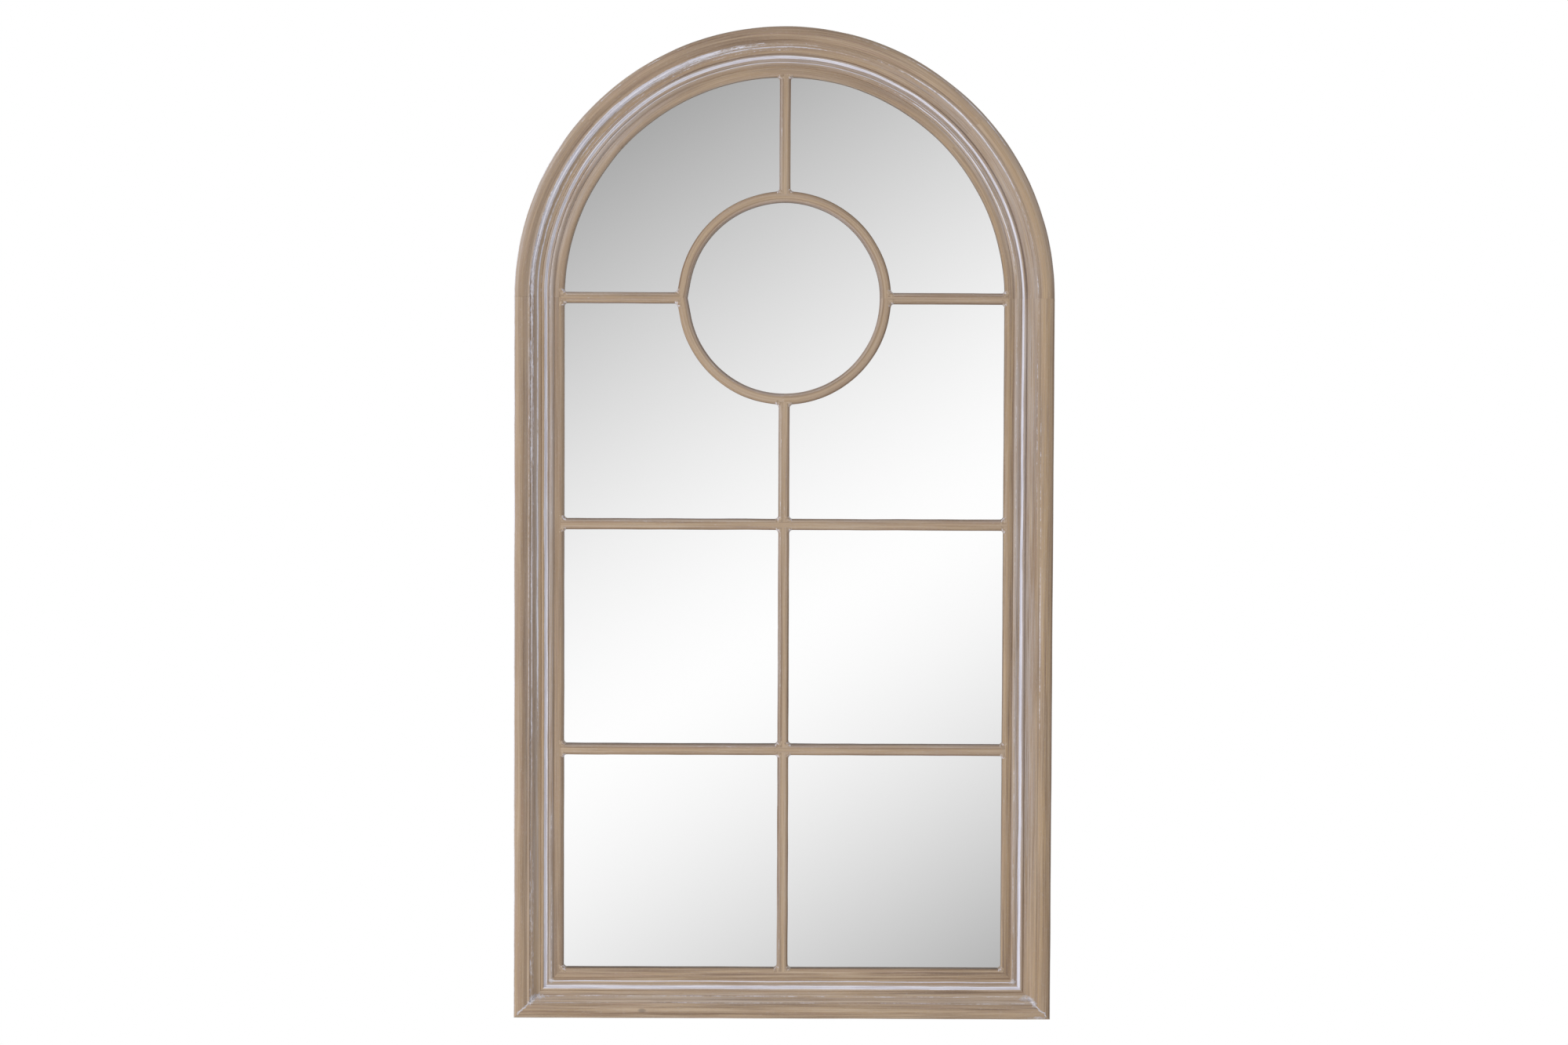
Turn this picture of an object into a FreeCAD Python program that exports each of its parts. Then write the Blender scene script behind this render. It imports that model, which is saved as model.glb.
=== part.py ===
import FreeCAD, Part
import math
import os

# Arched window mirror, in millimetres. X runs to the right, Z up, and the face looks towards -Y.
# The back of the frame lies in the plane Y = 0, and the origin is the middle of that plane.

# Frame
width = 760.0  # across the outside of the stiles
height = 1400.0  # from the foot of the bottom rail to the crown of the arch
face_width = 69.0  # of the moulding, from its outer edge to its sight edge
depth = 35.0  # from the back plane to the crest of the moulding
crown_angle = 96.0  # that the crown segment of the arch spans
corner_round = 3.0  # of the two lower outer corners

# Moulding, from the outer edge inwards. Falls are below the crest.
side_fall = 8.5  # from the crest to the top of the outer side
edge_round = 3.0  # width of the rounded outer edge
edge_bulge = 0.8  # of that rounding, off its chord
band_width = 18.5  # broad outer band, with its rounded edge
band_fall = 2.6  # from the crest to each side of the band
quirk_width = 1.2  # narrow V cuts between the members
quirk_depth = 1.5
fillet_width = 3.2  # each of the two narrow steps after the band
fillet_step = 2.0  # from one of them down to the next
riser_run = 0.6  # by which the riser between them slopes
cove_step = 1.0  # from the second of them down to the cove
cove_sag = 1.9  # hollow of the cove that follows

# Moulding, from the sight edge outwards. Rises are above the flat lip that the bars are flush with.
bevel_width = 4.2  # rounded shoulder along the lip and along every bar
bevel_drop = 3.4
bevel_bulge = 0.7
flat_width = 8.4  # flat lip
low_bead_width = 7.2
low_bead_rise = 1.6
low_bead_bulge = 1.6
channel_width = 5.2  # narrow channel between the two beads
channel_rise = 3.2
channel_sag = 0.8
high_bead_width = 5.0
high_bead_rise = 5.4
high_bead_bulge = 1.5

# Lattice of bars, whose backs lie on the glass
bar_width = 15.5
bar_height = 10.0
ring_radius = 142.4  # to the middle of the ring's bar
ring_end_angle = 10.5  # degrees over which the left end of each half was left straight
bead_radius = 5.0  # hollow of the filler in each corner
bead_lap = 2.4  # of the filler over the shoulders beside it
bead_cap = 6.5  # radius of its rounded top

# Glass and backing board
glass_thickness = 4.0
board_thickness = 3.0
sheet_clearance = 1.0  # between a sheet's edge and its rebate
lip_lap = 10.0  # of the lip over the glass's rebate
seat_width = 14.0  # of the ledge that the board lies on

# Dowels in the joints of the arch, and V-shaped nails in the mitres
dowel_radius = 4.0
dowel_length = 40.0
dowel_clearance = 0.1  # glue line round a dowel
dowel_places = [(14.0, 15.0), (34.0, 12.0)]  # from the outer edge, and from the back plane
nail_leg = 7.0
nail_thickness = 0.6
nail_depth = 10.0
nail_insets = [13.0, 33.0]  # from the outer edges, along the mitre

# Wood screws: countersunk ones flush with the board, and pan-headed ones on the hangers
board_screw_length = 13.0
hanger_screw_length = 16.0
screw_head_radius = 3.4
screw_head_height = 2.0  # of a pan head
screw_head_chamfer = 0.8
screw_shank_radius = 1.7
screw_tip = 3.0
pilot_clearance = 0.05
hole_clearance = 0.3
sink_clearance = 0.1  # round a countersunk head
arch_screws = 4
stile_screws = 4
rail_screws = 3
screw_corner_inset = 90.0  # from the lower corners to the nearest screws

# Hanger straps with swinging D-rings, and the pads that hold the mirror off the wall
wire_radius = 1.25
eye_clearance = 0.08
strap_thickness = 1.0
strap_width = 14.0
strap_length = 47.0  # from the eye's axis down
strap_round = 5.0  # of its two lower corners
strap_screws = [25.0, 39.0]  # below the eye's axis
hanger_inset = 23.0  # from the outer edge to the middle of the strap
hanger_drop = 60.0  # from the spring line down to the eye's axis
ring_half_width = 9.5  # of the D-ring, to the middle of its wire
ring_corner = 2.6
ring_leg = 7.0
ring_lean = 1.5  # degrees off the vertical, which hold the ring clear of its strap
pad_radius = 7.0
pad_chamfer = 1.0
pad_lift = 130.0  # from the foot of the frame to the pads
pad_clearance = 0.34  # by which the pads stand out past the hangers

# Clearance of the shapes that cut or trim
spare = 1.0  # by which such a shape runs past what it cuts

half_width = width / 2
half_height = height / 2
spring = half_height - half_width  # height of the arch's centre
foot = -half_height
sill = foot + face_width  # height of the sight edge of the bottom rail
glass_face = board_thickness + glass_thickness
lip_face = glass_face + bar_height
sight = half_width - face_width  # half the width of the opening, and the radius of its arch
joint_angle = (180.0 - crown_angle) / 2  # from the spring line to a joint of the arch
rebate_inset = face_width - lip_lap
seat_inset = rebate_inset - seat_width
eye_radius = wire_radius + eye_clearance
eye_outer = eye_radius + strap_thickness
back_normal = FreeCAD.Vector(0, 1, 0)  # square to the back, out of it
arch_centre = FreeCAD.Vector(0, 0, spring)


def vector(x, y, z):
    return FreeCAD.Vector(x, y, z)


class Outline:
    """A closed outline of straight lines and arcs, drawn from point to point in a plane."""

    def __init__(self, place, start):
        self.place = place
        self.start = start
        self.here = start
        self.edges = []

    def line(self, a, b):
        self.edges.append(Part.LineSegment(self.place(*self.here), self.place(a, b)).toShape())
        self.here = (a, b)

    def arc(self, a, b, bulge):
        """An arc that stands off its chord by bulge, to the left of the way it runs."""
        run_a, run_b = a - self.here[0], b - self.here[1]
        off = bulge / math.hypot(run_a, run_b)
        middle = self.place(self.here[0] + run_a / 2 - off * run_b, self.here[1] + run_b / 2 + off * run_a)
        self.edges.append(Part.Arc(self.place(*self.here), middle, self.place(a, b)).toShape())
        self.here = (a, b)

    def face(self):
        self.line(*self.start)
        return Part.Face(Part.Wire(self.edges))


def prism(corners, back, front):
    """A plate with straight sides, seen from the front, from height back to height front."""
    outline = Outline(lambda x, z: vector(x, -back, z), corners[0])
    for corner in corners[1:]:
        outline.line(*corner)
    return outline.face().extrude(vector(0, back - front, 0))


def cylinder(radius, start, end):
    return Part.makeCylinder(radius, start.distanceToPoint(end), start, end - start)


def mirrored(shape):
    return shape.mirror(vector(0, 0, 0), vector(1, 0, 0))


def turned(shape, angle):
    """The shape, carried round the arch from the left spring line by an angle in degrees."""
    return shape.rotated(arch_centre, back_normal, angle)


# The moulded frame


def moulding_section():
    """Section at the left spring line: u from the outer edge inwards, h from the back plane."""
    outline = Outline(lambda u, h: vector(u - half_width, -h, spring), (0, 0))
    outline.line(0, depth - side_fall)
    outline.arc(edge_round, depth - band_fall, edge_bulge)
    outline.arc(band_width, depth - band_fall, band_fall)
    u = band_width + quirk_width / 2
    outline.line(u, depth - band_fall - quirk_depth)
    u += quirk_width / 2
    outline.line(u, depth - band_fall)
    outline.line(u + fillet_width - riser_run, depth - band_fall)
    u += fillet_width
    outline.line(u, depth - band_fall - fillet_step)
    u += fillet_width
    outline.line(u, depth - band_fall - fillet_step)
    outline.line(u, depth - band_fall - fillet_step - cove_step)
    bead_start = face_width - bevel_width - flat_width - quirk_width
    channel_end = bead_start - low_bead_width
    channel_start = channel_end - channel_width
    cove_end = channel_start - high_bead_width
    outline.arc(cove_end - quirk_width / 2, lip_face + high_bead_rise, -cove_sag)
    outline.line(cove_end, lip_face + high_bead_rise - quirk_depth)
    outline.arc(channel_start, lip_face + channel_rise + quirk_depth, high_bead_bulge)
    outline.line(channel_start, lip_face + channel_rise)
    outline.arc(channel_end - quirk_width / 2, lip_face + channel_rise, -channel_sag)
    outline.line(channel_end, lip_face + low_bead_rise)
    outline.arc(bead_start, lip_face, low_bead_bulge)
    outline.line(bead_start + quirk_width / 2, lip_face - quirk_depth)
    outline.line(bead_start + quirk_width, lip_face)
    outline.line(face_width - bevel_width, lip_face)
    outline.arc(face_width, lip_face - bevel_drop, bevel_bulge)
    outline.line(face_width, glass_face)
    outline.line(rebate_inset, glass_face)
    outline.line(rebate_inset, board_thickness)
    outline.line(seat_inset, board_thickness)
    outline.line(seat_inset, 0)
    return outline.face()


def arch_segment(start_angle, span):
    return turned(moulding_section(), start_angle).revolve(arch_centre, back_normal, span)


def stile():
    """The left stile: a straight length of the moulding, cut to its mitre."""
    length = moulding_section().extrude(vector(0, 0, foot - spring))
    corners = [(-half_width, foot), (-half_width, spring), (-sight, spring), (-sight, sill)]
    return length.common(prism(corners, -spare, depth + spare)).cut(corner_rounding())


def rail():
    """The bottom rail: the same moulding laid along X, with a mitre at each end."""
    section = moulding_section().rotated(vector(-half_width, 0, spring), back_normal, -90)
    section.translate(vector(0, 0, foot - spring))
    corners = [(-half_width, foot), (half_width, foot), (sight, sill), (-sight, sill)]
    length = section.extrude(vector(width, 0, 0)).common(prism(corners, -spare, depth + spare))
    rounding = corner_rounding()
    return length.cut(rounding).cut(mirrored(rounding))


def corner_rounding():
    """What the rounding takes off the lower left corner."""
    r, back, front = corner_round, spare, -depth - spare
    square = Part.makeBox(r, back - front, r, vector(-half_width, front, foot))
    start, end = vector(r - half_width, back, foot + r), vector(r - half_width, front, foot + r)
    return square.cut(cylinder(r, start, end))


# Bars of the lattice


def bar_section(place):
    """Section of a bar: a from its middle across, h from the back plane."""
    half = bar_width / 2
    outline = Outline(place, (-half, glass_face))
    outline.line(-half, lip_face - bevel_drop)
    outline.arc(bevel_width - half, lip_face, bevel_bulge)
    outline.line(half - bevel_width, lip_face)
    outline.arc(half, lip_face - bevel_drop, bevel_bulge)
    outline.line(half, glass_face)
    return outline.face()


def upright_bar(low, high):
    return bar_section(lambda a, h: vector(a, -h, low)).extrude(vector(0, 0, high - low))


def level_bar(left, right, z):
    return bar_section(lambda a, h: vector(left, -h, z + a)).extrude(vector(right - left, 0, 0))


def ring_half():
    """The upper half: bent to the ring, but for its left end, which runs straight to the joint."""
    section = bar_section(lambda a, h: vector(-ring_radius + a, -h, spring))
    bent = turned(section, ring_end_angle).revolve(arch_centre, back_normal, 180 - ring_end_angle)
    run = ring_radius * math.tan(math.radians(ring_end_angle)) + bar_width
    end = turned(section.extrude(vector(0, 0, -run)), ring_end_angle)
    reach = ring_radius + bar_width
    above = Part.makeBox(2 * reach, lip_face + spare, reach, vector(-reach, -lip_face - spare, spring))
    return bent.fuse(end.common(above)).removeSplitter()


def fitted(shape, neighbours):
    """The shape, cut back to the faces of what it butts against."""
    for neighbour in neighbours:
        shape = shape.cut(neighbour)
    return max(shape.Solids, key=lambda solid: solid.Volume)


# Filler in the corners of the lattice


def corner_bead(corner, neighbours):
    """One lump of filler. A corner is a point on the glass and the way the pane lies from it."""
    x, z, to_x, to_z = corner
    low_x = x - bead_lap if to_x > 0 else x - bead_radius
    low_z = z - bead_lap if to_z > 0 else z - bead_radius
    size = bead_lap + bead_radius
    block = Part.makeBox(size, bar_height, size, vector(low_x, -lip_face, low_z))
    hollow_x, hollow_z = x + to_x * bead_radius, z + to_z * bead_radius
    hollow = cylinder(bead_radius, vector(hollow_x, 0, hollow_z), vector(hollow_x, -depth, hollow_z))
    cap_centre = vector(x, bead_cap - lip_face, z)
    post = cylinder(bead_cap, vector(x, -glass_face, z), cap_centre)
    cap = post.fuse(Part.makeSphere(bead_cap, cap_centre))
    return fitted(block.cut(hollow).common(cap), neighbours)


def corners_of_crossing(z):
    half = bar_width / 2
    return [(a * half, z + b * half, a, b) for a in (-1, 1) for b in (-1, 1)]


def corners_at_height(z, to_z):
    half = bar_width / 2
    return [(a * half, z, a, to_z) for a in (-1, 1)]


def corners_at_side(x, z, to_x):
    half = bar_width / 2
    return [(x, z + b * half, to_x, b) for b in (-1, 1)]


# Glass and board


def arched_sheet(inset, back, thickness):
    """A sheet whose edge runs round the frame at a steady distance from its outer edge."""
    side, low = half_width - inset, foot + inset
    outline = Outline(lambda x, z: vector(x, -back, z), (-side, low))
    outline.line(-side, spring)
    outline.arc(side, spring, side)
    outline.line(side, low)
    return outline.face().extrude(vector(0, -thickness, 0))


# Fixings


def dowels(angle, radius):
    """The two dowels of one joint of the arch, which lies at an angle from the left spring line."""
    made = []
    for inset, rise in dowel_places:
        middle = vector(inset - half_width, -rise, spring)
        reach = vector(0, 0, dowel_length / 2)
        made.append(turned(cylinder(radius, middle - reach, middle + reach), angle))
    return made


def mitre_nails():
    """The two nails of the left mitre: one leg runs into the rail and one into the stile."""
    made = []
    for inset in nail_insets:
        x, z, t = inset - half_width, foot + inset, nail_thickness
        corners = [(x, z), (x + nail_leg, z), (x + nail_leg, z + t)]
        corners += [(x + t, z + t), (x + t, z + nail_leg), (x, z + nail_leg)]
        made.append(prism(corners, 0, nail_depth))
    return made


def wood_screw(x, seat, z, length, head):
    """A screw driven from the back to the plane Y = seat. Its head is a list of radii and heights."""
    outline = Outline(lambda r, y: vector(x + r, seat + y, z), (0, -length))
    outline.line(screw_shank_radius, screw_tip - length)
    for radius, rise in head:
        outline.line(radius, rise)
    return outline.face().revolve(vector(x, 0, z), back_normal, 360)


def sunk_screw(x, z):
    """A countersunk screw, flush with the back of the board."""
    sink = screw_head_radius - screw_shank_radius
    head = [(screw_shank_radius, -sink), (screw_head_radius, 0), (0, 0)]
    return wood_screw(x, 0, z, board_screw_length, head)


def pan_screw(x, z):
    """A pan-headed screw through a hanger strap."""
    rim, top = screw_head_height - screw_head_chamfer, screw_head_height
    head = [(screw_shank_radius, 0), (screw_head_radius, 0), (screw_head_radius, rim)]
    head += [(screw_head_radius - screw_head_chamfer, top), (0, top)]
    return wood_screw(x, strap_thickness, z, hanger_screw_length, head)


def screw_hole(x, seat, z, length, clearance):
    return cylinder(screw_shank_radius + clearance, vector(x, seat, z), vector(x, seat - length, z))


def sunk_hole(x, z):
    """A hole through the board, countersunk from the back."""
    mouth, bore = screw_head_radius + sink_clearance, screw_shank_radius + hole_clearance
    cone = Part.makeCone(mouth, bore, mouth - bore, vector(x, 0, z), -back_normal)
    return cone.fuse(screw_hole(x, 0, z, board_thickness, hole_clearance))


def board_screw_places():
    """Middles of the screws round the board, on the middle of its ledge."""
    inset = (seat_inset + rebate_inset) / 2
    side = half_width - inset
    places = []
    for i in range(arch_screws):
        angle = math.pi * (i + 1) / (arch_screws + 1)
        places.append((-side * math.cos(angle), spring + side * math.sin(angle)))
    low = foot + screw_corner_inset
    for i in range(stile_screws):
        z = low + (spring - hanger_drop / 2 - low) * i / (stile_screws - 1)
        places += [(-side, z), (side, z)]
    reach = half_width - screw_corner_inset
    for i in range(rail_screws):
        places.append((reach * (2 * i / (rail_screws - 1) - 1), foot + inset))
    return places


# Hangers and pads

hanger_x = half_width - hanger_inset
eye_z = spring - hanger_drop


def hanger_strap():
    """The right strap: a flat plate whose upper end is rolled into an eye for the ring."""
    corner = vector(hanger_x - strap_width / 2, 0, eye_z - strap_length)
    strap = Part.makeBox(strap_width, strap_thickness, strap_length, corner)
    foot_edges = [edge for edge in strap.Edges if edge.BoundBox.ZMax < corner.z + spare
                  and edge.BoundBox.YLength > strap_thickness / 2]
    strap = strap.makeFillet(strap_round, foot_edges)
    start = vector(hanger_x - strap_width / 2, eye_outer, eye_z)
    end = start + vector(strap_width, 0, 0)
    strap = strap.fuse(cylinder(eye_outer, start, end)).cut(cylinder(eye_radius, start, end))
    for drop in strap_screws:
        hole = screw_hole(hanger_x, strap_thickness, eye_z - drop, strap_thickness, hole_clearance)
        strap = strap.cut(hole)
    return strap.removeSplitter()


def hanger_ring():
    """The right D-ring: its straight side lies in the eye and its bow hangs over the strap."""
    outline = Outline(lambda a, b: vector(hanger_x + a, eye_outer, eye_z + b), (0, 0))
    half, r, low = ring_half_width, ring_corner, -ring_corner - ring_leg
    corner_bulge = r * (1 - math.sqrt(0.5))
    outline.line(half - r, 0)
    outline.arc(half, -r, corner_bulge)
    outline.line(half, low)
    outline.arc(-half, low, half)
    outline.line(-half, -r)
    outline.arc(r - half, 0, corner_bulge)
    outline.line(0, 0)
    pivot, pivot_axis = vector(hanger_x, eye_outer, eye_z), vector(1, 0, 0)
    section = Part.Wire(Part.makeCircle(wire_radius, pivot, pivot_axis))
    ring = Part.Wire(outline.edges).makePipeShell([section], True, False)
    return ring.rotated(pivot, pivot_axis, ring_lean)


def hanger_screws():
    return [pan_screw(hanger_x, eye_z - drop) for drop in strap_screws]


def wall_pad():
    x, z = half_width - hanger_inset, foot + pad_lift
    end = 2 * eye_outer + pad_clearance
    pad = cylinder(pad_radius, vector(x, 0, z), vector(x, end, z))
    rim = [edge for edge in pad.Edges if edge.BoundBox.YMin > end / 2]
    return pad.makeChamfer(pad_chamfer, rim)


def assemble():
    """Every piece of the mirror, by name."""
    pane = (spring - sill + bar_width / 2) / 3  # from one level bar to the next
    inside = sight + bevel_width + spare  # past the shoulder, where the lip is already flat
    pieces = {}

    # Frame, bored for its dowels and screws
    nails = mitre_nails()
    nails += [mirrored(nail) for nail in nails]
    angles = [0.0, joint_angle, 180.0 - joint_angle, 180.0]
    places = board_screw_places()
    pilots = [screw_hole(x, 0, z, board_screw_length, pilot_clearance) for x, z in places]
    straps = hanger_screws()
    strap_pilots = []
    for drop in strap_screws:
        pilot = screw_hole(hanger_x, strap_thickness, eye_z - drop, hanger_screw_length, pilot_clearance)
        strap_pilots += [pilot, mirrored(pilot)]
    bores = pilots + strap_pilots + nails
    for angle in angles:
        bores += dowels(angle, dowel_radius + dowel_clearance)
    bores = Part.makeCompound(bores)
    left = stile()
    pieces["left_stile"] = left.cut(bores)
    pieces["right_stile"] = mirrored(left).cut(bores)
    pieces["bottom_rail"] = rail().cut(bores)
    pieces["arch_left_segment"] = arch_segment(0, joint_angle).cut(bores)
    pieces["arch_crown_segment"] = arch_segment(joint_angle, crown_angle).cut(bores)
    pieces["arch_right_segment"] = arch_segment(180 - joint_angle, joint_angle).cut(bores)
    frame = list(pieces.values())

    # Lattice
    upper_half = ring_half()
    ring = [upper_half, upper_half.mirror(arch_centre, vector(0, 0, 1))]
    pieces["ring_upper_half"], pieces["ring_lower_half"] = ring
    upper_z, lower_z = spring - pane, spring - 2 * pane
    crossings = []
    for name, z in (("upper", upper_z), ("lower", lower_z)):
        crossings.append(fitted(level_bar(-inside, inside, z), frame))
        pieces[name + "_cross_bar"] = crossings[-1]
    pieces["top_spoke"] = fitted(upright_bar(spring + ring_radius, spring + inside), ring + frame)
    pieces["left_spoke"] = fitted(level_bar(-inside, -ring_radius, spring), ring + frame)
    pieces["right_spoke"] = fitted(level_bar(ring_radius, inside, spring), ring + frame)
    pieces["spine_upper"] = fitted(upright_bar(upper_z, spring - ring_radius), ring + crossings)
    pieces["spine_middle"] = fitted(upright_bar(lower_z, upper_z), crossings)
    spine = upright_bar(sill - bevel_width - spare, lower_z)
    pieces["spine_lower"] = fitted(spine, crossings + frame)
    uprights = [pieces[name] for name in pieces if "spoke" in name or "spine" in name]
    lattice = uprights + ring + crossings

    # Filler
    half = bar_width / 2
    ring_reach = math.sqrt((ring_radius + half) ** 2 - half**2)
    arch_reach = math.sqrt(sight**2 - half**2)
    end_angle = math.radians(ring_end_angle)
    ring_left = (ring_radius + half - half * math.sin(end_angle)) / math.cos(end_angle)
    ring_corners = corners_at_height(spring + ring_reach, 1) + corners_at_height(spring - ring_reach, -1)
    ring_corners += corners_at_side(-ring_left, spring, -1) + corners_at_side(ring_reach, spring, 1)
    crossing_corners = corners_of_crossing(upper_z) + corners_of_crossing(lower_z)
    frame_corners = corners_at_height(spring + arch_reach, -1) + corners_at_height(sill, 1)
    frame_corners += [(-sight, sill, 1, 1), (sight, sill, -1, 1)]
    for z in (spring, upper_z, lower_z):
        frame_corners += corners_at_side(-sight, z, 1) + corners_at_side(sight, z, -1)
    groups = (("ring", ring_corners), ("crossing", crossing_corners), ("frame", frame_corners))
    for name, corners in groups:
        beads = [corner_bead(corner, lattice + frame) for corner in corners]
        pieces[name + "_corner_beads"] = Part.makeCompound(beads)

    # Glass, board and what holds them
    glass_inset = rebate_inset + sheet_clearance
    pieces["mirror_glass"] = arched_sheet(glass_inset, board_thickness, glass_thickness)
    board = arched_sheet(seat_inset + sheet_clearance, 0, board_thickness)
    holes = [sunk_hole(x, z) for x, z in places]
    pieces["backing_board"] = board.cut(Part.makeCompound(holes))
    pieces["board_screws"] = Part.makeCompound([sunk_screw(x, z) for x, z in places])
    joint_dowels = [dowel for angle in angles for dowel in dowels(angle, dowel_radius)]
    pieces["arch_dowels"] = Part.makeCompound(joint_dowels)
    pieces["mitre_nails"] = Part.makeCompound(nails)

    # Back
    pieces["right_hanger_strap"] = hanger_strap()
    pieces["left_hanger_strap"] = mirrored(pieces["right_hanger_strap"])
    pieces["right_hanger_ring"] = hanger_ring()
    pieces["left_hanger_ring"] = mirrored(pieces["right_hanger_ring"])
    pieces["hanger_screws"] = Part.makeCompound(straps + [mirrored(screw) for screw in straps])
    pad = wall_pad()
    pieces["wall_bumpers"] = Part.makeCompound([pad, mirrored(pad)])
    return pieces


os.makedirs("parts", exist_ok=True)
for name, shape in assemble().items():
    shape.exportStep("parts/" + name + ".step")
    print(name, len(shape.Solids), round(shape.Volume / 1000, 2), shape.isValid())
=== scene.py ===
import math

import bmesh
import bpy
from mathutils import Matrix, Vector, noise


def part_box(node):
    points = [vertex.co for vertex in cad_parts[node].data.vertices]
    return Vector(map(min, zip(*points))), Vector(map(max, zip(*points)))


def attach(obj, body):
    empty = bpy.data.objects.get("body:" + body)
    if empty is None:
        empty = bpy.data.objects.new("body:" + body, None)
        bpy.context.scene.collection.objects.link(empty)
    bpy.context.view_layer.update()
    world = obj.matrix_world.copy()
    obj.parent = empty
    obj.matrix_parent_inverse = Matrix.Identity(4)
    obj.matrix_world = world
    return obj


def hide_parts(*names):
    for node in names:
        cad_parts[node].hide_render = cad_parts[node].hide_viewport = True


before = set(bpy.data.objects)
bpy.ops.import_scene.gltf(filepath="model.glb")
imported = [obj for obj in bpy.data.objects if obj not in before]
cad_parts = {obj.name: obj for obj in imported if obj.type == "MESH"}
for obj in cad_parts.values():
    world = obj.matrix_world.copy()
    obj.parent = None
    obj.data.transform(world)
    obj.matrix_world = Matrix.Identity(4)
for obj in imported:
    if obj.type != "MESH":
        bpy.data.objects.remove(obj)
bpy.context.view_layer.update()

mm = 0.001


# ---------------------------------------------------------------------------------------------
# Stiles
# Two straight lengths of one moulding in a pale hardwood, run on a spindle moulder. The foot of
# each is cut to a mitre, glued, and the joint is pulled tight by two V-shaped nails.
# ---------------------------------------------------------------------------------------------

half_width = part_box("right_stile")[1].x
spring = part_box("left_stile")[1].z  # height of the arch's centre
foot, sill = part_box("bottom_rail")[0].z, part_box("bottom_rail")[1].z
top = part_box("arch_crown_segment")[1].z
crest = -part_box("bottom_rail")[0].y
sight = half_width - (sill - foot)  # half the width of the opening
arch_centre = Vector((0, 0, spring))

# The moulding in mm: across from the outer edge, out from the back plane, and the bow of the
# stretch that ends there, which is how far it stands off its chord.
moulding = [
    (0.0, 0.0, 0.0),  # back of the outer side
    (0.0, 26.5, 0.0),  # outer side
    (3.0, 32.4, 0.8),  # rounded outer edge
    (18.5, 32.4, 2.2),  # broad band
    (19.4, 31.9, 0.0),  # V cut, all but sanded away
    (20.3, 32.2, 0.0),
    (22.3, 32.4, 0.0),  # first step
    (22.9, 30.4, 0.0),
    (26.1, 30.4, 0.0),  # second step
    (26.1, 29.4, 0.0),
    (37.2, 22.1, -1.9),  # cove
    (37.9, 21.0, 0.0),
    (42.8, 21.7, 1.5),  # high bead
    (42.8, 20.2, 0.0),
    (47.4, 20.2, -0.8),  # channel
    (48.0, 18.6, 0.0),
    (55.2, 17.0, 1.6),  # low bead
    (55.8, 16.2, 0.0),  # V cut
    (56.4, 17.0, 0.0),
    (64.8, 17.0, 0.0),  # flat lip
    (69.0, 13.6, 0.7),  # rounded shoulder
    (69.0, 7.0, 0.0),  # inner side, down to the glass
    (59.0, 7.0, 0.0),
    (59.0, 3.0, 0.0),  # rebates of the glass and of the board
    (45.0, 3.0, 0.0),
    (45.0, 0.0, 0.0),
]


def section(bm, stops, place, softness=0.3 * mm):
    """Adds a face in the outline of the stops, with softened corners. place puts a stop in space."""
    corners, outline = [], []
    before = Vector(stops[-1][:2])
    for across, out, bow in stops:
        here = Vector((across, out))
        run = here - before
        off = Vector((-run.y, run.x)).normalized() * bow
        steps = 4 + round(2.5 * abs(bow)) if bow else 1
        for i in range(1, steps):
            t = i / steps
            point = before + run * t + off * 4 * t * (1 - t)
            outline.append(bm.verts.new(place(*point * mm)))
        outline.append(bm.verts.new(place(*here * mm)))
        corners.append(outline[-1])
        before = here
    bm.faces.new(outline)
    bmesh.ops.bevel(
        bm, geom=corners, offset=softness, affect="VERTICES", segments=2, profile=0.5, material=-1
    )


def drawn_out(bm, step, steps):
    """Draws a section out straight, in a number of equal steps. Gives what lies at its far end."""
    drawn = bmesh.ops.spin(
        bm, geom=bm.faces[:], angle=0, steps=steps, dvec=step, axis=(0, 0, 1), cent=(0, 0, 0)
    )
    return drawn["geom_last"]


def cut(bm, point, normal):
    """Saws off what lies on the normal's side of a plane, and closes the sawn end."""
    everything = bm.verts[:] + bm.edges[:] + bm.faces[:]
    bmesh.ops.bisect_plane(bm, geom=everything, dist=1e-7, plane_co=point, plane_no=normal, clear_outer=True)
    bmesh.ops.holes_fill(bm, edges=[edge for edge in bm.edges if edge.is_boundary], sides=0)


noise.seed_set(1)  # so that every run makes the same waves and lumps


def hand_sanded(bm, depth=0.22 * mm, pitch=70 * mm):
    """Long shallow waves, as sanding by hand leaves them. The back and the outermost faces stay true."""
    for vert in bm.verts:
        wave = noise.noise_vector(vert.co / pitch) * depth
        wave += noise.noise_vector(vert.co * 4 / pitch) * depth / 3
        wave.y *= min(1, -vert.co.y / (10 * mm))
        moved = vert.co + wave
        vert.co.x = max(-half_width, min(half_width, moved.x))
        vert.co.y = max(-crest, min(0, moved.y))
        vert.co.z = max(foot, min(top, moved.z))


def made(name, bm, finish, slot, *nodes, body="mirror", sharp=30):
    """Makes a piece of a bmesh, in place of CAD nodes."""
    bmesh.ops.recalc_face_normals(bm, faces=bm.faces[:])
    mesh = bpy.data.meshes.new(name)
    bm.to_mesh(mesh)
    bm.free()
    mesh.materials.append(finish)
    mesh.shade_smooth()
    mesh.set_sharp_from_angle(angle=math.radians(sharp))
    piece = bpy.data.objects.new(name, mesh)
    bpy.context.scene.collection.objects.link(piece)
    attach(piece, body)
    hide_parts(*nodes)
    return piece


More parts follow.
